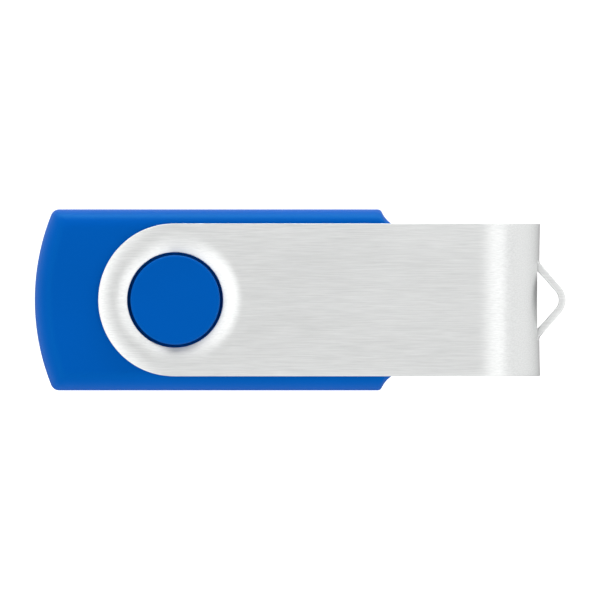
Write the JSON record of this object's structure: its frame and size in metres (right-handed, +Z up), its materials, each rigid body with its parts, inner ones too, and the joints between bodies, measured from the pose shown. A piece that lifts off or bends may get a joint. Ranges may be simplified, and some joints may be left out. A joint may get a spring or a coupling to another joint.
{
  "type": "usb flash drive",
  "caption": "USB flash drive with a plastic body, a rectangular metal plug, and a folded sheet metal cover with a keyring loop that swivels all the way round a pivot in the body.",
  "frame": {"origin": "middle of the footprint of the closed drive, on the surface that it lies on", "axes": "+X along the drive towards the plug and the keyring loop, +Y across it to the left of the plug, +Z up through the two halves of the body"},
  "size_m": [0.0558, 0.019, 0.0106],
  "materials": {
    "shell_plastic": "satin moulded blue plastic",
    "cover_sheet": "brushed along its length",
    "plug_steel": "nickel plated, smooth",
    "insulator_plastic": "moulded black plastic",
    "contact_gold": "gold plated",
    "board_laminate": "green solder mask",
    "solder_tin": "bright solder",
    "chip_epoxy": "moulded black epoxy",
    "lead_tin": "tin plated",
    "crystal_ceramic": "ceramic",
    "crystal_lid": "plated lid",
    "light_white": "white resin",
    "light_lens": "clear resin",
    "resistor_black": "glazed black",
    "capacitor_tan": "fired ceramic",
    "ferrite_grey": "sintered ferrite"
  },
  "bodies": {
    "body": {"upper_shell": "shell_plastic", "lower_shell": "shell_plastic", "plug_shell": "plug_steel", "plug_insulator": "insulator_plastic", "contact_power": "contact_gold", "contact_data_minus": "contact_gold", "contact_data_plus": "contact_gold", "contact_ground": "contact_gold", "circuit_board": "board_laminate", "contact_solder": "solder_tin", "leg_solder": "solder_tin", "memory_chip": "chip_epoxy", "memory_leads": "lead_tin", "controller_chip": "chip_epoxy", "controller_leads": "lead_tin", "crystal_base": "crystal_ceramic", "crystal_can": "crystal_lid", "light_base": "light_white", "light_lens": "light_lens", "resistors": "resistor_black", "resistor_ends": "lead_tin", "capacitors": "capacitor_tan", "capacitor_ends": "lead_tin", "regulator_chip": "chip_epoxy", "regulator_leads": "lead_tin", "ferrite_bead": "ferrite_grey", "ferrite_ends": "lead_tin"},
    "cover": {"swivel_cover": "cover_sheet"}
  },
  "joints": [
    {"name": "cover_swivel", "type": "hinge", "parent": "body", "child": "cover", "pos_m": [-0.01311, 0, 0.0053], "axis": [0, 0, 1], "continuous": true}
  ]
}
